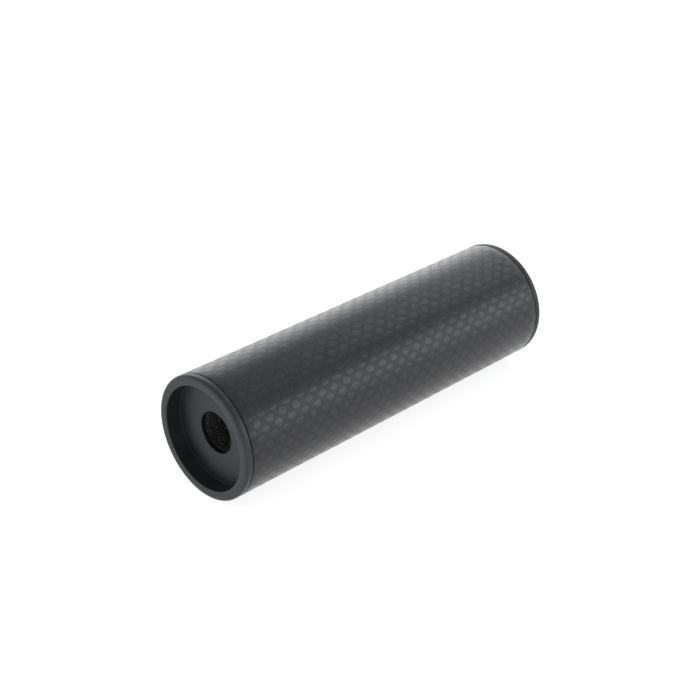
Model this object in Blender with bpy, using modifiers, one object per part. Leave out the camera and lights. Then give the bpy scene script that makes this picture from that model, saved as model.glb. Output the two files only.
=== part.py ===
"""A foam-filled carbon-fibre display tube with two screwed aluminium end caps.

Metres, +Z up. The tube lies along Y: the open, recessed end faces -Y and the closed
rear face lies in the plane y = 0, with its centre at the origin.

Each turned piece is drawn as a half section and swept round its own Z axis, which
points out of the front end. Heights are measured from the rear face, so a piece at
height h lies at y = -h. The threads are plain cylinders with a running clearance.
"""

import math

import bpy

# Driving dimensions
TUBE_R = 0.0165
LENGTH = 0.110
SEGMENTS = 72
EDGE_BREAK = 0.00012

# Carbon tube and the two threaded collars bonded into its ends
CARBON_WALL = 0.0009
GLUE_GAP = 0.0001
COLLAR_WALL = 0.00075
COLLAR_LENGTH = 0.0090
COLLAR_SETBACK = 0.0012

# End caps
FLANGE_FRONT = 0.0019
FLANGE_REAR = 0.00165
FLANGE_GAP = 0.00022
EDGE_ROUND_FRONT = 0.00075
EDGE_ROUND_REAR = 0.0004
RUN_GAP = 0.0001
RECESS_R = 0.0139
RECESS_DEPTH = 0.0043
FLOOR_THICK = 0.0011
HOLE_R = 0.00555
HOLE_CHAMFER = 0.00015
SKIRT_LENGTH = 0.0095
PIN_HOLE_R = 0.0011
PIN_HOLE_DEPTH = 0.0012
PIN_HOLE_REACH = 0.0105

# Seal rings behind the flanges
SEAL_SECTION_R = 0.0004
SEAL_SIDES = 8
SEAL_OFFSET = 0.0006

# Foam filler
FOAM_COUNT = 5
FOAM_GAP = 0.0003
FOAM_R = 0.0136
FOAM_BORE_R = 0.0053

# Worked out from the above
CARBON_IN_R = TUBE_R - CARBON_WALL
COLLAR_OUT_R = CARBON_IN_R - GLUE_GAP
COLLAR_IN_R = COLLAR_OUT_R - COLLAR_WALL
SKIRT_R = COLLAR_IN_R - RUN_GAP
TUBE_FRONT = LENGTH - FLANGE_FRONT - FLANGE_GAP
TUBE_REAR = FLANGE_REAR + FLANGE_GAP
CAP_FRONT_SEAT = LENGTH - FLANGE_FRONT
FLOOR_TOP = LENGTH - RECESS_DEPTH
FLOOR_BOTTOM = FLOOR_TOP - FLOOR_THICK
SEAL_R = (SKIRT_R + CARBON_IN_R) / 2


def clear_scene():
    for old in list(bpy.data.objects):
        bpy.data.objects.remove(old, do_unlink=True)


def new_collection(name):
    collection = bpy.data.collections.new(name)
    bpy.context.scene.collection.children.link(collection)
    return collection


def new_material(name, colour, roughness, metallic):
    material = bpy.data.materials.new(name)
    material.use_nodes = True
    shader = material.node_tree.nodes["Principled BSDF"]
    shader.inputs["Base Color"].default_value = (*colour, 1.0)
    shader.inputs["Roughness"].default_value = roughness
    shader.inputs["Metallic"].default_value = metallic
    return material


def arc(centre_r, centre_h, radius, start, end, steps):
    """Points on a round edge of a section, from angle start to end in degrees."""
    points = []
    for i in range(steps + 1):
        a = math.radians(start + (end - start) * i / steps)
        points.append((centre_r + radius * math.cos(a), centre_h + radius * math.sin(a)))
    return points


def turned(name, section, seat, closed, material, collection):
    """Sweep a half section of (radius, height) points into a solid of revolution.

    seat is the height of the piece's origin on the axis. A closed section makes a
    ring; an open one starts and ends on the axis.
    """
    mesh = bpy.data.meshes.new(name)
    points = [(r, 0.0, h - seat) for r, h in section]
    edges = [(i, i + 1) for i in range(len(points) - 1)]
    if closed:
        edges.append((len(points) - 1, 0))
    mesh.from_pydata(points, edges, [])
    piece = bpy.data.objects.new(name, mesh)
    collection.objects.link(piece)
    piece.location = (0.0, -seat, 0.0)
    piece.rotation_euler = (math.radians(90), 0.0, 0.0)
    sweep = piece.modifiers.new("Sweep", "SCREW")
    sweep.axis = "Z"
    sweep.angle = math.radians(360)
    sweep.steps = SEGMENTS
    sweep.render_steps = SEGMENTS
    sweep.use_merge_vertices = True
    sweep.merge_threshold = 0.00001
    mesh.materials.append(material)
    return piece


def shade_round(pieces):
    """Bake each sweep into its mesh and shade it smooth with crisp corners."""
    for piece in pieces:
        bpy.context.view_layer.objects.active = piece
        for modifier in list(piece.modifiers):
            bpy.ops.object.modifier_apply(modifier=modifier.name)
        piece.data.shade_smooth()
        piece.data.set_sharp_from_angle(angle=math.radians(30))


def ring_section(inner, outer, low, high, edge):
    """A ring's section with its four corners broken by a small chamfer."""
    return [
        (outer - edge, high),
        (outer, high - edge),
        (outer, low + edge),
        (outer - edge, low),
        (inner + edge, low),
        (inner, low + edge),
        (inner, high - edge),
        (inner + edge, high),
    ]


def front_cap_section():
    """Flat lip, deep flat recess, floor with a centre hole, and a threaded skirt."""
    skirt_end = CAP_FRONT_SEAT - SKIRT_LENGTH
    rim = arc(
        TUBE_R - EDGE_ROUND_FRONT, LENGTH - EDGE_ROUND_FRONT, EDGE_ROUND_FRONT, 90, 0, 5
    )
    flange = [
        (TUBE_R, CAP_FRONT_SEAT + EDGE_BREAK),
        (TUBE_R - EDGE_BREAK, CAP_FRONT_SEAT),
        (SKIRT_R, CAP_FRONT_SEAT),
    ]
    skirt = [
        (SKIRT_R, skirt_end + EDGE_BREAK),
        (SKIRT_R - EDGE_BREAK, skirt_end),
        (RECESS_R + EDGE_BREAK, skirt_end),
        (RECESS_R, skirt_end + EDGE_BREAK),
    ]
    floor = [
        (RECESS_R, FLOOR_BOTTOM),
        (HOLE_R + HOLE_CHAMFER, FLOOR_BOTTOM),
        (HOLE_R, FLOOR_BOTTOM + HOLE_CHAMFER),
        (HOLE_R, FLOOR_TOP - HOLE_CHAMFER),
        (HOLE_R + HOLE_CHAMFER, FLOOR_TOP),
        (RECESS_R, FLOOR_TOP),
    ]
    mouth = [
        (RECESS_R, LENGTH - EDGE_BREAK),
        (RECESS_R + EDGE_BREAK, LENGTH),
    ]
    return rim + flange + skirt + floor + mouth


def rear_cap_section():
    """A closed flat face, the same flange and skirt, hollow on the inside."""
    skirt_end = FLANGE_REAR + SKIRT_LENGTH
    rim = arc(
        TUBE_R - EDGE_ROUND_REAR, EDGE_ROUND_REAR, EDGE_ROUND_REAR, 0, -90, 4
    )
    inside = [
        (0.0, FLANGE_REAR + FLOOR_THICK),
        (RECESS_R, FLANGE_REAR + FLOOR_THICK),
        (RECESS_R, skirt_end - EDGE_BREAK),
        (RECESS_R + EDGE_BREAK, skirt_end),
    ]
    outside = [
        (SKIRT_R - EDGE_BREAK, skirt_end),
        (SKIRT_R, skirt_end - EDGE_BREAK),
        (SKIRT_R, FLANGE_REAR),
        (TUBE_R - EDGE_BREAK, FLANGE_REAR),
        (TUBE_R, FLANGE_REAR - EDGE_BREAK),
    ]
    return inside + outside + rim + [(0.0, 0.0)]


def pin_holes(cap, cutters):
    """Two blind holes in the rear face, for a pin spanner."""
    for side, x in (("left", -PIN_HOLE_REACH), ("right", PIN_HOLE_REACH)):
        bpy.ops.mesh.primitive_cylinder_add(
            vertices=24,
            radius=PIN_HOLE_R,
            depth=2 * PIN_HOLE_DEPTH,
            location=(x, 0.0, 0.0),
            rotation=(math.radians(90), 0.0, 0.0),
        )
        cutter = bpy.context.object
        cutter.name = f"cut_pin_hole_{side}"
        for owner in list(cutter.users_collection):
            owner.objects.unlink(cutter)
        cutters.objects.link(cutter)
        cutter.hide_render = True
        cutter.display_type = "WIRE"
        cut = cap.modifiers.new(f"Pin hole {side}", "BOOLEAN")
        cut.operation = "DIFFERENCE"
        cut.solver = "EXACT"
        cut.object = cutter


def seal_section(height):
    """A round seal's section, clear of the flange, the skirt and the collar's end."""
    points = []
    for i in range(SEAL_SIDES):
        a = math.radians(-360 * i / SEAL_SIDES)
        points.append(
            (SEAL_R + SEAL_SECTION_R * math.cos(a), height + SEAL_SECTION_R * math.sin(a))
        )
    return points


def foam_blocks(material, collection):
    """The front block has a bore; the solid blocks behind it close the far end."""
    top = FLOOR_BOTTOM - FOAM_GAP
    bottom = FLANGE_REAR + FLOOR_THICK + FOAM_GAP
    pitch = (top - bottom + FOAM_GAP) / FOAM_COUNT
    blocks = []
    for i in range(FOAM_COUNT):
        high = top - i * pitch
        low = high - pitch + FOAM_GAP
        name = f"foam_{i + 1}"
        if i == 0:
            section = ring_section(FOAM_BORE_R, FOAM_R, low, high, EDGE_BREAK)
        else:
            section = [(0.0, high), (FOAM_R, high), (FOAM_R, low), (0.0, low)]
        blocks.append(turned(name, section, low, i == 0, material, collection))
    return blocks


def main():
    clear_scene()
    parts = new_collection("foam_filled_carbon_tube")
    cutters = new_collection("cutters")
    carbon = new_material("carbon_weave", (0.055, 0.056, 0.060), 0.35, 0.0)
    anodised = new_material("black_anodised", (0.045, 0.045, 0.048), 0.42, 1.0)
    aluminium = new_material("bare_aluminium", (0.62, 0.62, 0.64), 0.35, 1.0)
    rubber = new_material("seal_rubber", (0.02, 0.02, 0.02), 0.6, 0.0)
    foam = new_material("black_foam", (0.022, 0.022, 0.022), 0.95, 0.0)

    outer_tube = turned(
        "outer_tube",
        ring_section(CARBON_IN_R, TUBE_R, TUBE_REAR, TUBE_FRONT, EDGE_BREAK),
        TUBE_REAR, True, carbon, parts,
    )
    collar_top = TUBE_FRONT - COLLAR_SETBACK
    front_collar = turned(
        "front_collar",
        ring_section(
            COLLAR_IN_R, COLLAR_OUT_R, collar_top - COLLAR_LENGTH, collar_top, EDGE_BREAK
        ),
        collar_top, True, aluminium, parts,
    )
    collar_low = TUBE_REAR + COLLAR_SETBACK
    rear_collar = turned(
        "rear_collar",
        ring_section(
            COLLAR_IN_R, COLLAR_OUT_R, collar_low, collar_low + COLLAR_LENGTH, EDGE_BREAK
        ),
        collar_low, True, aluminium, parts,
    )
    front_cap = turned(
        "front_cap", front_cap_section(), CAP_FRONT_SEAT, True, anodised, parts
    )
    rear_cap = turned(
        "rear_cap", rear_cap_section(), FLANGE_REAR, False, anodised, parts
    )
    pin_holes(rear_cap, cutters)
    front_seal_height = CAP_FRONT_SEAT - SEAL_OFFSET
    front_o_ring = turned(
        "front_o_ring", seal_section(front_seal_height), front_seal_height, True, rubber, parts
    )
    rear_seal_height = FLANGE_REAR + SEAL_OFFSET
    rear_o_ring = turned(
        "rear_o_ring", seal_section(rear_seal_height), rear_seal_height, True, rubber, parts
    )
    blocks = foam_blocks(foam, parts)
    shade_round(
        [outer_tube, front_collar, rear_collar, front_cap, rear_cap, front_o_ring, rear_o_ring]
        + blocks
    )


main()
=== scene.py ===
"""Looks for a foam-filled carbon-fibre display tube with black anodised end caps.

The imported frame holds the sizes. Each CAD node is stood for by a finer piece of the
same shape that rides on the same body. Metres; the tube lies along Y, front at -Y.
"""

import math

import bpy
import numpy as np
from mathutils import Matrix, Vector


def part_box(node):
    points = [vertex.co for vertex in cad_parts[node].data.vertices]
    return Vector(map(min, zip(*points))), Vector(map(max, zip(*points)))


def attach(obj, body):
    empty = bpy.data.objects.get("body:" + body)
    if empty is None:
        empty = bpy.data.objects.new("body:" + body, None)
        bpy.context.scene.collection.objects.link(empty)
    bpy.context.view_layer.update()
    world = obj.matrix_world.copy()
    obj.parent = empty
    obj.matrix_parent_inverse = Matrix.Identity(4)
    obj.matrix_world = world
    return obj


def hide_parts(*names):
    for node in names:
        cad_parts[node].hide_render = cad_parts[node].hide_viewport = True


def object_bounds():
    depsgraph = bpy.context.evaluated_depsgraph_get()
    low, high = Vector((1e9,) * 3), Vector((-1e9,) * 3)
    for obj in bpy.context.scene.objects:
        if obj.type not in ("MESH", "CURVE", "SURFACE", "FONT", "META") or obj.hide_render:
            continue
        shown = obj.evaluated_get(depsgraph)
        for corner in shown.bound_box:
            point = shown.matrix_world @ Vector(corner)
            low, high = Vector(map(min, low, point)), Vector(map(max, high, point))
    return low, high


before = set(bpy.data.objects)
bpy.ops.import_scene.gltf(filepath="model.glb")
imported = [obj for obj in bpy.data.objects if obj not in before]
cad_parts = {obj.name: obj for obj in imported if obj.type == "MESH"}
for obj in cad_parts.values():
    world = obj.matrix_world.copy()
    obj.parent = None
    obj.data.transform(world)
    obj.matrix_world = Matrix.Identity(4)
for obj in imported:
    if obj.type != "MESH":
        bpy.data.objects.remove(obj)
cad_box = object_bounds()

MM = 0.001
TURN = 2 * math.pi
SAME = 1e-7  # lengths closer than this count as equal
CRISP = math.radians(32)  # a corner sharper than this is shaded as an edge
CLOSING_EDGE = 1.0 * MM  # length given to a closed section's last edge in the uv map

# Tube, and the collars bonded into its ends
ROUND_STEPS = 256
TUBE_ROWS = 40
TUBE_EDGE = 0.15 * MM
GLUE_GAP = 0.1 * MM
COLLAR_WALL = 0.75 * MM
COLLAR_ROWS = 90

# End caps
FLANGE_FRONT = 1.9 * MM
FLANGE_REAR = 1.65 * MM
RIM_ROUND_FRONT = 0.75 * MM
RIM_ROUND_REAR = 0.4 * MM
BACK_EDGE = 0.12 * MM
RECESS_R = 13.9 * MM
RECESS_DEPTH = 4.3 * MM
LIP_EDGE = 0.15 * MM
FLOOR_THICK = 1.1 * MM
FLOOR_CORNER = 0.10 * MM
HOLE_R = 5.55 * MM
HOLE_EDGE = 0.15 * MM
PIN_HOLE_R = 1.1 * MM
PIN_HOLE_DEPTH = 1.2 * MM
PIN_HOLE_REACH = 10.5 * MM
PIN_HOLE_EDGE = 0.12 * MM
DRILL_STEPS = 48
DRILL_PROUD = 0.5 * MM

# Closure threads, between each cap's skirt and its collar
RUN_GAP = 0.1 * MM
THREAD_PITCH = 1.0 * MM
THREAD_DEPTH = 0.22 * MM
THREAD_RELIEF = 1.6 * MM  # plain length of the skirt next to the flange
THREAD_FADE = 0.6 * THREAD_PITCH
THREAD_FLANK = (1.6, 0.3)  # steepness and flat: a plain V is (1, 0)
THREAD_ROWS = 64

# Seals
SEAL_STEPS = 32
SEAL_FLASH = 0.02 * MM
SEAL_FLASH_FROM = 0.97  # cosine of the angle from the seal's plane where the flash line starts

# Foam
FOAM_BLOCKS = 5
FOAM_ROUND_STEPS = 224
FOAM_STEP = 0.16 * MM  # between rows of points on a block's ends and in its bore
FOAM_BORE_R = 5.3 * MM
NO_BORE = -1.0  # a radius that no point has
FOAM_CELL = 0.95 * MM
FOAM_PIT = 0.42 * MM
FOAM_WALL = 0.45  # how far a wall's slope reaches into a cell, in cells
FINE_CELL = 0.45  # small cells laid over the large ones, as a share of FOAM_CELL
FINE_PIT = 0.3  # and their depth, as a share of FOAM_PIT
FOAM_SWELL = 0.06 * MM
SWELL_WAVES = (3, 900, 700)  # per turn round a block, then radians per metre along and across it
HASH_STEPS = np.array([73856093, 19349663, 83492791])  # a fixed hash places each cell's centre
HASH_TURNS = (1597334677, 3812015801, 2798796415)
HASH_SIZE = 2**31 - 1

# Carbon weave; a cell is the patch of one tow that shows between the two that cross over it
TOWS_ROUND = 52
TOW_ALONG = 0.130  # width of a hoop tow, in tube radii
FIRST_TOW = (0.18, -0.63)  # what the tow counts start from, round and along the tube
TOW_DRIFT = 0.45  # range over which a tow wanders, in tow widths
CELL_FRAY = 0.95  # raggedness of a cell's edge
CELL_SOFT = (0.22, 0.30)  # softness of a cell's sides and of its ends
LENS_SWELL = 1.1  # lengthens the cells of tows along the tube on their centre lines
LENS_INSET = 0.75  # and narrows them at their sides
TOW_CHANGE = (-0.40, 0.50)  # a hoop tow lies on top below this span, the other above it
STRANDS = 14.0  # grains of noise across a tow
HOOP_SLICE = 5.0  # where the hoop tows' strands are cut from the noise
STRAND_SHADE = (0.70, 1.30)
STRAND_RELIEF = 0.15  # as a share of the tow's own crown
# Painted shade in the groove beside a tow, as a share of its brightness
GROOVE_PAINTED_SHADE = 0.68
GROOVE_PAINTED_SHADE_TOP = 0.6  # how far up a tow's crown the painted shade of its groove reaches
CELL_LUCK = 0.09  # how far a cell's brightness strays from its kind's, as a share
# The tows along the tube are painted lighter than the hoop tows: a painted sheen for the stronger
# reflection of their fibres
HOOP_SHADE = 0.0182
AXIAL_SHADE_WITH_PAINTED_SHEEN = 0.0245
HOOP_ROUGH = 0.54
AXIAL_ROUGH = 0.23
BASE_EDGE = 0.60
WEAVE_BUMP = 0.060 * MM
CARBON_TINT = (0.96, 0.985, 1.06)

# Other finishes
NOISE_RANGE = (0.3, 0.7)  # where nearly all of a noise's values lie
ANODISED_SHADE = 0.042
ANODISED_MOTTLE = (0.94, 1.06)
ANODISED_TINT = (0.95, 0.985, 1.07)
LIP_LIGHTER_DEPTHS = (0.5 * MM, 0.1 * MM)  # depths behind the front face over which the lip's colour gets lighter
LIP_GAIN = 0.10
ALUMINIUM_SHADE = 0.6
ALUMINIUM_SMEAR = (0.9, 1.05)
ALUMINIUM_TINT = (1.0, 1.0, 1.02)
RUBBER_SHADE = (0.014, 0.024)
FOAM_PAINTED_SHADE_AND_WALL = (0.006, 0.030)  # painted shade inside the cells, and the foam's own tone on their walls
STRUT_WIDTH = (0.02, 0.30)  # where a strut's slope starts and ends, from a cell's edge
GLINT_NOISE = (0.66, 0.72)  # noise above this makes a strut glint
GLINT_SHADE = 0.20

# Camera, sky, floor and lights
CAMERA_AZIMUTH = math.radians(45.13)
CAMERA_ELEVATION = math.radians(28.24)
CAMERA_LENS = 76.56
FRONT_IN_VIEW = (-2.1783, -1.3171, 21.961)  # front centre, right, up and away, in tube radii
SKY_TINT = (0.97, 0.985, 1.03, 1.0)
SKY_RISE = (0.0, 0.65)  # upward part of a direction, at the horizon and where the glow levels off
SKY_GLOW = (1.14, 0.73)
FLOOR_HALF = 3.0
FLOOR_SHADE = 0.40
FLOOR_GLOW = 0.83
REAR_AIM = 30 * MM  # the rear panel's aim, behind the rear face


# ---------------------------------------------------------------- mesh helpers


def arc(centre_r, centre_h, radius, start, end, steps=3):
    """Points on a rounded corner of a section, from start to end in degrees."""
    angles = np.radians(np.linspace(start, end, steps + 1))
    return [(centre_r + radius * math.cos(a), centre_h + radius * math.sin(a)) for a in angles]


def shade_crisp(mesh):
    mesh.shade_smooth()
    mesh.set_sharp_from_angle(angle=CRISP)


def add_mesh(name, points, faces, uvs, material):
    """A mesh object in the row frame, smooth with crisp corners, uvs given per corner."""
    mesh = bpy.data.meshes.new(name)
    mesh.from_pydata([tuple(p) for p in points], [], [tuple(f) for f in faces])
    mesh.materials.append(material)
    layer = mesh.uv_layers.new(name="UVMap")
    layer.data.foreach_set("uv", np.asarray(uvs, np.float32).ravel())
    mesh.validate()
    shade_crisp(mesh)
    piece = bpy.data.objects.new(name, mesh)
    bpy.context.scene.collection.objects.link(piece)
    return piece


def swept(name, section, material, closed=True, steps=ROUND_STEPS, lift=None):
    """Sweep a section of (radius, height) points round the tube's axis.

    Height runs out of the front end, from the rear face. A section that isn't closed
    starts and ends on the axis. lift(turn, radius, height) returns the new radius and
    height of each point, for threads and foam.
    """
    section = np.array(section, float)
    count = len(section)
    turn = np.repeat((np.arange(steps) * TURN / steps)[:, None], count, axis=1)
    radius = np.repeat(section[None, :, 0], steps, axis=0)
    height = np.repeat(section[None, :, 1], steps, axis=0)
    if lift is not None:
        radius, height = lift(turn, radius, height)
    points = np.stack([radius * np.cos(turn), -height, radius * np.sin(turn)], axis=-1)
    points = points.reshape(-1, 3)
    lengths = np.concatenate([[0], np.cumsum(np.hypot(*np.diff(section, axis=0).T))])
    lengths = np.append(lengths, lengths[-1] + CLOSING_EDGE)
    faces, uvs = [], []
    for i in range(steps):
        k = (i + 1) % steps
        near, far = i / steps, (i + 1) / steps
        for j in range(count if closed else count - 1):
            m = (j + 1) % count
            faces.append((i * count + j, i * count + m, k * count + m, k * count + j))
            low, high = lengths[j], lengths[j + 1]
            uvs += [(near, low), (near, high), (far, high), (far, low)]
    if not closed:
        points, faces, uvs = close_poles(points, faces, uvs, steps, count)
    return add_mesh(name, points, faces, uvs, material)


def close_poles(points, faces, uvs, steps, count):
    """Give an open section that ends on the axis one point at each end."""
    first = {i * count: 0 for i in range(steps)}
    last = {i * count + count - 1: count - 1 for i in range(steps)}
    joined = {**first, **last}
    kept_faces, kept_uvs = [], []
    for n, face in enumerate(faces):
        corners = [joined.get(v, v) for v in face]
        chosen = [c for c in range(4) if corners[c] != corners[c - 1]]
        kept_faces.append([corners[c] for c in chosen])
        kept_uvs += [uvs[4 * n + c] for c in chosen]
    used = sorted({v for face in kept_faces for v in face})
    new = {v: n for n, v in enumerate(used)}
    return points[used], [[new[v] for v in face] for face in kept_faces], kept_uvs


def finish_piece(piece, body, node):
    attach(piece, body)
    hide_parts(node)


# ------------------------------------------------------------ material helpers


class Nodes:
    """Short calls for building one material's node tree."""

    def __init__(self, name):
        self.material = bpy.data.materials.new(name)
        self.material.use_nodes = True
        self.tree = self.material.node_tree
        self.shader = self.tree.nodes["Principled BSDF"]

    def add(self, kind, **settings):
        node = self.tree.nodes.new(kind)
        for key, value in settings.items():
            setattr(node, key, value)
        return node

    def join(self, source, target):
        self.tree.links.new(source, target)

    def feed(self, socket, value):
        """Link a socket to another one, or give it a constant."""
        if isinstance(value, bpy.types.NodeSocket):
            self.join(value, socket)
        else:
            socket.default_value = value

    def maths(self, operation, a, b=0.0, c=0.0):
        node = self.add("ShaderNodeMath", operation=operation)
        for socket, value in zip(node.inputs, (a, b, c)):
            self.feed(socket, value)
        return node.outputs[0]

    def mixed(self, share, a, b):
        """a where the share is 0, b where it is 1."""
        node = self.add("ShaderNodeMix", data_type="FLOAT")
        factor, _, first, second = node.inputs[:4]
        self.feed(factor, share)
        self.feed(first, a)
        self.feed(second, b)
        return node.outputs[0]

    def span(self, value, low, high, to_low=0.0, to_high=1.0, smooth=True):
        """Take the values from low to high to those from to_low to to_high."""
        node = self.add("ShaderNodeMapRange")
        node.interpolation_type = "SMOOTHSTEP" if smooth else "LINEAR"
        for socket, v in zip(node.inputs, (value, low, high, to_low, to_high)):
            self.feed(socket, v)
        return node.outputs[0]

    def noise(self, vector, scale, detail=2.0):
        """Noise with about scale grains to each unit of the vector, so per metre of place."""
        node = self.add("ShaderNodeTexNoise")
        self.join(vector, node.inputs["Vector"])
        node.inputs["Scale"].default_value = scale
        node.inputs["Detail"].default_value = detail
        return node.outputs["Fac"]

    def spread(self, noise, low, high):
        """A noise's usual values, stretched evenly from low to high."""
        return self.span(noise, *NOISE_RANGE, low, high, smooth=False)

    def swing(self, noise, size):
        """A noise as a push of up to half of size either way."""
        return self.maths("MULTIPLY", self.maths("SUBTRACT", noise, 0.5), size)

    def vector(self, x, y, z):
        node = self.add("ShaderNodeCombineXYZ")
        for socket, value in zip(node.inputs, (x, y, z)):
            self.feed(socket, value)
        return node.outputs[0]

    def place(self):
        return self.add("ShaderNodeTexCoord").outputs["Object"]

    def split(self, vector):
        node = self.add("ShaderNodeSeparateXYZ")
        self.join(vector, node.inputs[0])
        return node.outputs

    def grey(self, value, tint=(1.0, 1.0, 1.0)):
        """A colour of one brightness, tinted."""
        parts = [self.maths("MULTIPLY", value, t) for t in tint]
        node = self.add("ShaderNodeCombineColor")
        for socket, part in zip(node.inputs, parts):
            self.join(part, socket)
        return node.outputs[0]

    def bump(self, height, distance, strength=1.0):
        node = self.add("ShaderNodeBump")
        node.inputs["Strength"].default_value = strength
        node.inputs["Distance"].default_value = distance
        self.join(height, node.inputs["Height"])
        return node.outputs[0]

    def set(self, **values):
        """Give the shader's sockets their values, by name with _ for a space."""
        for key, value in values.items():
            self.feed(self.shader.inputs[key.replace("_", " ")], value)


# ------------------------------------------------------------------- materials


def carbon_material(tube_radius):
    """1x1 plain weave under a satin clear coat.

    u counts the tows round the tube, and v the hoop tows along it. The tows that run along
    the tube have the lower roughness, so a lengthways band of light shows mostly on them.
    """
    n = Nodes("carbon_plain_weave")
    place = n.place()
    x, y, z = n.split(place)
    turn = n.maths("ARCTAN2", z, x)
    u = n.maths("MULTIPLY_ADD", turn, TOWS_ROUND / TURN, FIRST_TOW[0])
    v = n.maths("MULTIPLY_ADD", y, 1 / (TOW_ALONG * tube_radius), FIRST_TOW[1])
    drift = n.swing(n.noise(place, scale=130.0), TOW_DRIFT)
    fray = n.swing(n.noise(place, scale=750.0), CELL_FRAY)
    u = n.maths("ADD", u, drift)
    v = n.maths("SUBTRACT", v, drift)

    # Which tow is on top: signs alternate from cell to cell like a chessboard's colours
    wave_u = n.maths("SINE", n.maths("MULTIPLY", u, math.pi))
    wave_v = n.maths("SINE", n.maths("MULTIPLY", v, math.pi))
    across_u = n.maths("ABSOLUTE", wave_u)
    across_v = n.maths("ABSOLUTE", wave_v)
    sides = n.maths("DIVIDE", wave_u, n.maths("ADD", across_u, CELL_SOFT[0]))
    ends = n.maths("DIVIDE", wave_v, n.maths("ADD", across_v, CELL_SOFT[1]))
    cell = n.maths("MULTIPLY", sides, ends)
    cell = n.maths("ADD", cell, n.maths("MULTIPLY_ADD", across_u, LENS_SWELL, -LENS_INSET))
    cell = n.maths("ADD", cell, fray)
    axial = n.span(cell, *TOW_CHANGE)
    crown = n.mixed(axial, across_v, across_u)

    # Fine strands along each tow
    strands_u = n.maths("MULTIPLY", u, STRANDS)
    strands_v = n.maths("MULTIPLY", v, STRANDS)
    axial_strand = n.noise(n.vector(strands_u, v, 0.0), scale=1.0, detail=3.0)
    hoop_strand = n.noise(n.vector(strands_v, u, HOOP_SLICE), scale=1.0, detail=3.0)
    strand = n.mixed(axial, hoop_strand, axial_strand)

    # Brightness: each tow's own, with painted sheen on the tows along the tube, a little luck per
    # cell, its strands, and painted shade in its grooves
    dice = n.add("ShaderNodeTexWhiteNoise", noise_dimensions="2D")
    cell_number = n.vector(n.maths("FLOOR", u), n.maths("FLOOR", v), 0.0)
    n.join(cell_number, dice.inputs["Vector"])
    luck = n.span(dice.outputs["Value"], 0.0, 1.0, 1 - CELL_LUCK, 1 + CELL_LUCK, smooth=False)
    shade = n.mixed(axial, HOOP_SHADE, AXIAL_SHADE_WITH_PAINTED_SHEEN)
    shade = n.maths("MULTIPLY", n.maths("MULTIPLY", shade, luck), n.spread(strand, *STRAND_SHADE))
    # Painted shade in the grooves beside each tow, fading out up its crown
    shade = n.maths("MULTIPLY", shade, n.span(crown, 0.0, GROOVE_PAINTED_SHADE_TOP, GROOVE_PAINTED_SHADE, 1.0))

    relief = n.maths("ADD", crown, n.maths("MULTIPLY", strand, STRAND_RELIEF))
    peel = n.noise(place, scale=420.0)
    n.set(
        Base_Color=n.grey(shade, CARBON_TINT),
        Metallic=1.0,
        Roughness=n.mixed(axial, HOOP_ROUGH, AXIAL_ROUGH),
        Specular_Tint=(BASE_EDGE, BASE_EDGE, BASE_EDGE, 1.0),
        Normal=n.bump(relief, WEAVE_BUMP),
        Coat_Weight=1.0,
        Coat_Roughness=0.34,
        Coat_IOR=1.36,
        Coat_Normal=n.bump(peel, 0.02 * MM, strength=0.25),
    )
    return n.material


def anodised_material(front_y):
    """Fine bead-blasted, black anodised aluminium, a little lighter on the front lip."""
    n = Nodes("black_anodised")
    place = n.place()
    blast = n.noise(place, scale=5200.0)
    cloud = n.noise(place, scale=240.0, detail=3.0)
    y = n.split(place)[1]
    # The lip's colour is made lighter within half a millimetre of the front face
    lip = n.span(y, front_y + LIP_LIGHTER_DEPTHS[0], front_y + LIP_LIGHTER_DEPTHS[1], 0.0, LIP_GAIN)
    shade = n.maths("MULTIPLY", n.spread(cloud, *ANODISED_MOTTLE), ANODISED_SHADE)
    shade = n.maths("MULTIPLY", shade, n.maths("ADD", lip, 1.0))
    shade = n.maths("MULTIPLY", shade, n.spread(blast, *ANODISED_MOTTLE))
    n.set(
        Base_Color=n.grey(shade, ANODISED_TINT),
        Metallic=0.8,
        Roughness=n.spread(cloud, 0.40, 0.46),
        Normal=n.bump(blast, 0.01 * MM, strength=0.35),
    )
    return n.material


def bare_aluminium_material():
    """Turned bare aluminium, with the faint rings a lathe tool leaves."""
    n = Nodes("turned_aluminium")
    place = n.place()
    y = n.split(place)[1]
    rings = n.noise(n.vector(0.0, y, 0.0), scale=9000.0, detail=1.0)
    smear = n.noise(place, scale=600.0, detail=3.0)
    shade = n.maths("MULTIPLY", n.spread(smear, *ALUMINIUM_SMEAR), ALUMINIUM_SHADE)
    n.set(
        Base_Color=n.grey(shade, ALUMINIUM_TINT),
        Metallic=1.0,
        Roughness=n.spread(rings, 0.24, 0.38),
        Normal=n.bump(rings, 0.01 * MM, strength=0.4),
    )
    return n.material


def rubber_material():
    """Black nitrile rubber with a light bloom."""
    n = Nodes("seal_rubber")
    bloom = n.noise(n.place(), scale=900.0, detail=3.0)
    n.set(
        Base_Color=n.grey(n.spread(bloom, *RUBBER_SHADE)),
        Roughness=n.spread(bloom, 0.48, 0.62),
        Normal=n.bump(bloom, 0.02 * MM, strength=0.3),
    )
    return n.material


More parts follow.
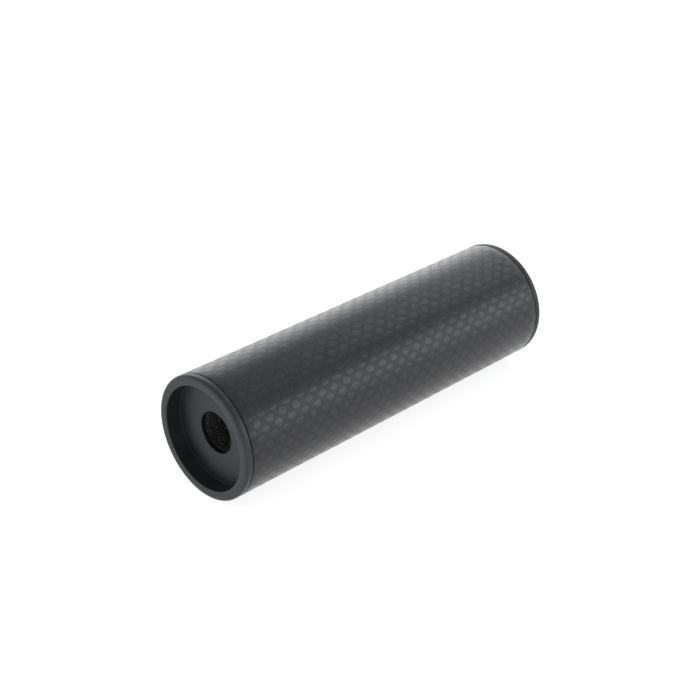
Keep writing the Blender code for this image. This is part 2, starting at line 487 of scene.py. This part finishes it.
def foam_material():
    """Black open-cell foam: round cells with painted shade inside, and a few struts with painted
    glints.
    """
    n = Nodes("open_cell_foam")
    place = n.place()
    cells = n.add("ShaderNodeTexVoronoi", feature="DISTANCE_TO_EDGE")
    n.join(place, cells.inputs["Vector"])
    cells.inputs["Scale"].default_value = 1500.0
    wall = n.span(cells.outputs["Distance"], *STRUT_WIDTH, 1.0, 0.0)
    glint = n.span(n.noise(place, scale=2300.0, detail=1.0), *GLINT_NOISE)
    # Painted shade inside the cells, the foam's own tone on the walls, and painted glints on a
    # few struts
    shade = n.mixed(wall, *FOAM_PAINTED_SHADE_AND_WALL)
    shade = n.mixed(n.maths("MULTIPLY", glint, wall), shade, GLINT_SHADE)
    n.set(
        Base_Color=n.grey(shade),
        Roughness=0.8,
        Normal=n.bump(wall, 0.15 * MM, strength=0.8),
    )
    return n.material


# ---------------------------------------------------------------------- shapes


def heights(node):
    """(lowest, highest) distance of a node from the rear face, along the tube."""
    low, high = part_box(node)
    return -high.y, -low.y


def outer_radius(node):
    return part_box(node)[1].x


def skirt_radius():
    """Outer radius of a cap's skirt, which screws into its collar."""
    return outer_radius("front_collar") - COLLAR_WALL - RUN_GAP


def thread(low, high, root, crest, start=0.0):
    """A right-hand screw thread between two heights, as a change of radius."""
    steepness, flat = THREAD_FLANK

    def lift(turn, radius, height):
        phase = np.mod(height / THREAD_PITCH - turn / TURN + start, 1.0)
        wave = np.clip(steepness * np.abs(2 * phase - 1) - flat, 0, 1)
        fade = np.clip((height - low) / THREAD_FADE, 0, 1)
        fade = fade * np.clip((high - height) / THREAD_FADE, 0, 1)
        cut = np.where(np.abs(radius - crest) < SAME, (crest - root) * wave * fade, 0)
        return radius - cut, height

    return lift


def foam_cells(turn, radius, height, size):
    """0 in the middle of a foam cell, 1 on the wall between two cells."""
    points = np.stack([radius * np.cos(turn), radius * np.sin(turn), height], axis=-1) / size
    base = np.floor(points).astype(np.int64)
    nearest = np.full(turn.shape, np.inf)
    second = nearest.copy()
    for corner in np.ndindex(3, 3, 3):
        cell = base + np.array(corner) - 1
        key = (cell * HASH_STEPS).sum(axis=-1)
        spot = [((key * m) % HASH_SIZE) / HASH_SIZE for m in HASH_TURNS]
        away = np.linalg.norm(cell + np.stack(spot, axis=-1) - points, axis=-1)
        second = np.minimum(second, np.maximum(nearest, away))
        nearest = np.minimum(nearest, away)
    return 1 - np.clip((second - nearest) / FOAM_WALL, 0, 1)


def foam_surface(outer, low, high, bore):
    """Pits foam's faces and bore with open cells, always into the block."""
    round_waves, along_waves, across_waves = SWELL_WAVES

    def lift(turn, radius, height):
        walls = foam_cells(turn, radius, height, FOAM_CELL)
        fine = foam_cells(turn, radius, height, FINE_CELL * FOAM_CELL)
        swell = np.sin(round_waves * turn + along_waves * height) * np.cos(across_waves * radius)
        pit = FOAM_PIT * (1 - walls) + FINE_PIT * FOAM_PIT * (1 - fine)
        pit = pit + FOAM_SWELL * (0.5 + 0.5 * swell)
        in_bore = np.abs(radius - bore) < SAME
        on_end = (radius < outer - SAME) & ~in_bore
        rising = np.where(on_end & (height < low + SAME), pit, 0)
        falling = np.where(on_end & (height > high - SAME), pit, 0)
        return np.where(in_bore, radius + pit, radius), height + rising - falling

    return lift


def foam_section(outer, low, high, bore):
    """A block's section, closed round its bore, or open with both ends on the axis.

    The rows on its ends and in its bore are close enough together for the cells.
    """
    inner = max(bore, 0.0)
    across = np.linspace(outer, inner, int((outer - inner) / FOAM_STEP))[1:-1]
    if bore == NO_BORE:
        upper = [(0, high)] + [(r, high) for r in across[::-1]] + [(outer, high)]
        return upper + [(outer, low)] + [(r, low) for r in across] + [(0, low)]
    along = np.linspace(high, low, int((high - low) / FOAM_STEP))
    return (
        [(outer, low), (outer, high)]
        + [(r, high) for r in across]
        + [(bore, h) for h in along]
        + [(r, low) for r in across[::-1]]
    )


# ---------------------------------------------------------------------- pieces


def build_tube(material):
    low, high = heights("outer_tube")
    outer = outer_radius("outer_tube")
    inner = outer_radius("front_collar") + GLUE_GAP
    top, bottom = high - TUBE_EDGE, low + TUBE_EDGE
    section = (
        arc(outer - TUBE_EDGE, top, TUBE_EDGE, 90, 0)
        + [(outer, h) for h in np.linspace(top, bottom, TUBE_ROWS + 1)[1:-1]]
        + arc(outer - TUBE_EDGE, bottom, TUBE_EDGE, 0, -90)
        + arc(inner + TUBE_EDGE, bottom, TUBE_EDGE, -90, -180)
        + arc(inner + TUBE_EDGE, top, TUBE_EDGE, 180, 90)
    )
    piece = swept("carbon_tube", section, material)
    finish_piece(piece, "tube", "outer_tube")


def build_front_cap(material):
    skirt_end, top = heights("front_cap")
    seat = top - FLANGE_FRONT
    outer = outer_radius("front_cap")
    skirt = skirt_radius()
    floor_top = top - RECESS_DEPTH
    floor_low = floor_top - FLOOR_THICK
    thread_top = seat - THREAD_RELIEF
    thread_rows = np.linspace(thread_top, skirt_end + BACK_EDGE, THREAD_ROWS)
    section = (
        arc(outer - RIM_ROUND_FRONT, top - RIM_ROUND_FRONT, RIM_ROUND_FRONT, 90, 0, steps=10)
        + arc(outer - BACK_EDGE, seat + BACK_EDGE, BACK_EDGE, 0, -90)
        + [(skirt, seat)]
        + [(skirt, h) for h in thread_rows]
        + arc(skirt - BACK_EDGE, skirt_end + BACK_EDGE, BACK_EDGE, 0, -90)[1:]
        + arc(RECESS_R + BACK_EDGE, skirt_end + BACK_EDGE, BACK_EDGE, -90, -180)
        + [(RECESS_R, floor_low)]
        + arc(HOLE_R + HOLE_EDGE, floor_low + HOLE_EDGE, HOLE_EDGE, -90, -180)
        + arc(HOLE_R + HOLE_EDGE, floor_top - HOLE_EDGE, HOLE_EDGE, 180, 90)
        + arc(RECESS_R - FLOOR_CORNER, floor_top + FLOOR_CORNER, FLOOR_CORNER, -90, 0, steps=5)
        + arc(RECESS_R + LIP_EDGE, top - LIP_EDGE, LIP_EDGE, 180, 90, steps=4)
    )
    shape = thread(skirt_end, thread_top, skirt - THREAD_DEPTH, skirt)
    piece = swept("front_end_cap", section, material, lift=shape)
    finish_piece(piece, "front_end", "front_cap")


def build_rear_cap(material):
    seat = FLANGE_REAR
    skirt_end = heights("rear_cap")[1]
    outer = outer_radius("rear_cap")
    skirt = skirt_radius()
    inner_floor = seat + FLOOR_THICK
    thread_low = seat + THREAD_RELIEF
    thread_rows = np.linspace(skirt_end - BACK_EDGE, thread_low, THREAD_ROWS)
    section = (
        [(0, inner_floor)]
        + arc(RECESS_R - FLOOR_CORNER, inner_floor + FLOOR_CORNER, FLOOR_CORNER, -90, 0, steps=5)
        + arc(RECESS_R + BACK_EDGE, skirt_end - BACK_EDGE, BACK_EDGE, 180, 90)
        + arc(skirt - BACK_EDGE, skirt_end - BACK_EDGE, BACK_EDGE, 90, 0)[:-1]
        + [(skirt, h) for h in thread_rows]
        + [(skirt, seat)]
        + arc(outer - BACK_EDGE, seat - BACK_EDGE, BACK_EDGE, 90, 0)
        + arc(outer - RIM_ROUND_REAR, RIM_ROUND_REAR, RIM_ROUND_REAR, 0, -90, steps=8)
        + [(0, 0)]
    )
    shape = thread(thread_low, skirt_end, skirt - THREAD_DEPTH, skirt)
    piece = swept("rear_end_cap", section, material, closed=False, lift=shape)
    for x in (-PIN_HOLE_REACH, PIN_HOLE_REACH):
        drill_pin_hole(piece, x, material)
    shade_crisp(piece.data)
    finish_piece(piece, "rear_end", "rear_cap")


def drill_pin_hole(piece, x, material):
    """Cut a blind hole with a broken edge into the rear face."""
    section = [
        (0, PIN_HOLE_DEPTH),
        (PIN_HOLE_R, PIN_HOLE_DEPTH),
        (PIN_HOLE_R, PIN_HOLE_EDGE),
        (PIN_HOLE_R + PIN_HOLE_EDGE, 0),
        (PIN_HOLE_R + PIN_HOLE_EDGE, -DRILL_PROUD),
        (0, -DRILL_PROUD),
    ]
    drill = swept("drill", section, material, closed=False, steps=DRILL_STEPS)
    drill.location.x = x
    cut = piece.modifiers.new("pin hole", "BOOLEAN")
    cut.operation = "DIFFERENCE"
    cut.solver = "EXACT"
    cut.object = drill
    bpy.context.view_layer.objects.active = piece
    bpy.ops.object.modifier_apply(modifier=cut.name)
    bpy.data.objects.remove(drill, do_unlink=True)


def build_collars(material):
    """Bonded rings with a fine internal thread that the end caps screw into."""
    for end in ("front", "rear"):
        node = f"{end}_collar"
        low, high = heights(node)
        outer = outer_radius(node)
        inner = outer - COLLAR_WALL
        top, bottom = high - BACK_EDGE, low + BACK_EDGE
        section = (
            arc(outer - BACK_EDGE, top, BACK_EDGE, 90, 0)
            + arc(outer - BACK_EDGE, bottom, BACK_EDGE, 0, -90)
            + arc(inner + BACK_EDGE, bottom, BACK_EDGE, -90, -180)
            + [(inner, h) for h in np.linspace(bottom, top, COLLAR_ROWS)[1:-1]]
            + arc(inner + BACK_EDGE, top, BACK_EDGE, 180, 90)
        )
        shape = thread(bottom, top, inner + THREAD_DEPTH, inner, start=0.5)
        piece = swept(f"{end}_thread_collar", section, material, lift=shape)
        finish_piece(piece, "tube", node)


def build_seals(material):
    """Round rubber seals with the thin flash line their mould leaves."""
    for end in ("front", "rear"):
        node = f"{end}_o_ring"
        low, high = heights(node)
        thick = (high - low) / 2
        middle = outer_radius(node) - thick
        section = []
        for a in np.linspace(0, -TURN, SEAL_STEPS + 1)[:-1]:
            flash = max(0.0, abs(math.cos(a)) - SEAL_FLASH_FROM) / (1 - SEAL_FLASH_FROM)
            r = thick + SEAL_FLASH * flash
            section.append((middle + r * math.cos(a), (low + high) / 2 + thick * math.sin(a)))
        piece = swept(f"{end}_seal", section, material)
        finish_piece(piece, f"{end}_seal", node)


def build_foam(material):
    """Foam blocks from front to rear. Only the first has a bore, and the second closes it."""
    for i in range(1, FOAM_BLOCKS + 1):
        node = f"foam_{i}"
        low, high = heights(node)
        outer = outer_radius(node)
        bore = FOAM_BORE_R if i == 1 else NO_BORE
        section = foam_section(outer, low, high, bore)
        piece = swept(
            f"foam_block_{i}",
            section,
            material,
            closed=i == 1,
            steps=FOAM_ROUND_STEPS,
            lift=foam_surface(outer, low, high, bore),
        )
        finish_piece(piece, "tube", node)


# ------------------------------------------------------------------ the studio


def build_camera(front, radius):
    """A camera placed so that the front face's centre sits where FRONT_IN_VIEW says."""
    a, e = CAMERA_AZIMUTH, CAMERA_ELEVATION
    right = Vector((math.cos(a), math.sin(a), 0.0))
    away = Vector((-math.sin(a) * math.cos(e), math.cos(a) * math.cos(e), -math.sin(e)))
    up = right.cross(away)
    r, u, f = FRONT_IN_VIEW
    camera = bpy.data.objects.new("camera", bpy.data.cameras.new("camera"))
    camera.data.sensor_width = 36.0
    camera.data.lens = CAMERA_LENS
    camera.data.clip_start = 0.01
    camera.location = front - radius * (r * right + u * up + f * away)
    camera.rotation_mode = "QUATERNION"
    camera.rotation_quaternion = away.to_track_quat("-Z", "Y")
    scene = bpy.context.scene
    scene.collection.objects.link(camera)
    scene.camera = camera
    scene.view_settings.view_transform = "Standard"


def build_sky():
    """A soft studio dome, brightest at the horizon."""
    world = bpy.data.worlds.new("studio")
    world.use_nodes = True
    bpy.context.scene.world = world
    tree = world.node_tree
    sky = tree.nodes["Background"]
    sky.inputs["Color"].default_value = SKY_TINT
    direction = tree.nodes.new("ShaderNodeTexCoord")
    parts = tree.nodes.new("ShaderNodeSeparateXYZ")
    fall = tree.nodes.new("ShaderNodeMapRange")
    fall.interpolation_type = "SMOOTHSTEP"
    for socket, value in zip(fall.inputs[1:], (*SKY_RISE, *SKY_GLOW)):
        socket.default_value = value
    tree.links.new(direction.outputs["Generated"], parts.inputs[0])
    tree.links.new(parts.outputs["Z"], fall.inputs["Value"])
    tree.links.new(fall.outputs["Result"], sky.inputs["Strength"])


def build_floor(height):
    """A pale floor that glows a little, so that it stays close to white."""
    n = Nodes("pale_floor")
    n.set(
        Base_Color=(FLOOR_SHADE, FLOOR_SHADE, FLOOR_SHADE, 1.0),
        Roughness=0.9,
        Specular_IOR_Level=0.2,
        Emission_Color=(1.0, 1.0, 1.0, 1.0),
        Emission_Strength=FLOOR_GLOW,
    )
    half = FLOOR_HALF
    corners = [(-half, -half), (half, -half), (half, half), (-half, half)]
    mesh = bpy.data.meshes.new("floor")
    mesh.from_pydata([(x, y, height) for x, y in corners], [], [(0, 1, 2, 3)])
    mesh.materials.append(n.material)
    floor = bpy.data.objects.new("floor", mesh)
    bpy.context.scene.collection.objects.link(floor)


def area_light(name, target, azimuth, elevation, distance, size, power):
    """A soft panel aimed at target, placed by its azimuth and elevation from it."""
    a, e = math.radians(azimuth), math.radians(elevation)
    out = Vector((math.sin(a) * math.cos(e), -math.cos(a) * math.cos(e), math.sin(e)))
    data = bpy.data.lights.new(name, "AREA")
    data.shape = "RECTANGLE"
    data.size, data.size_y = size
    data.energy = power
    light = bpy.data.objects.new(name, data)
    light.location = target + out * distance
    light.rotation_mode = "QUATERNION"
    light.rotation_quaternion = out.to_track_quat("Z", "Y")
    bpy.context.scene.collection.objects.link(light)


def build_lights(centre):
    """Broad panels on both sides of the rear end, and a small one above and behind it."""
    behind = Vector((0.0, REAR_AIM, 0.0))
    area_light("key_strip", centre, 130, 15, distance=0.6, size=(0.4, 0.30), power=0.56)
    area_light("left_panel", centre, 226, 16, distance=0.8, size=(0.8, 0.6), power=1.70)
    area_light("rear_panel", behind, 178, 50, distance=0.25, size=(0.2, 0.2), power=0.11)


low, high = cad_box
radius = high.x
anodised = anodised_material(low.y)
build_tube(carbon_material(radius))
build_front_cap(anodised)
build_rear_cap(anodised)
build_collars(bare_aluminium_material())
build_seals(rubber_material())
build_foam(foam_material())
build_camera(Vector((0.0, low.y, 0.0)), radius)
build_sky()
build_floor(low.z)
build_lights(Vector((0.0, low.y / 2, 0.0)))
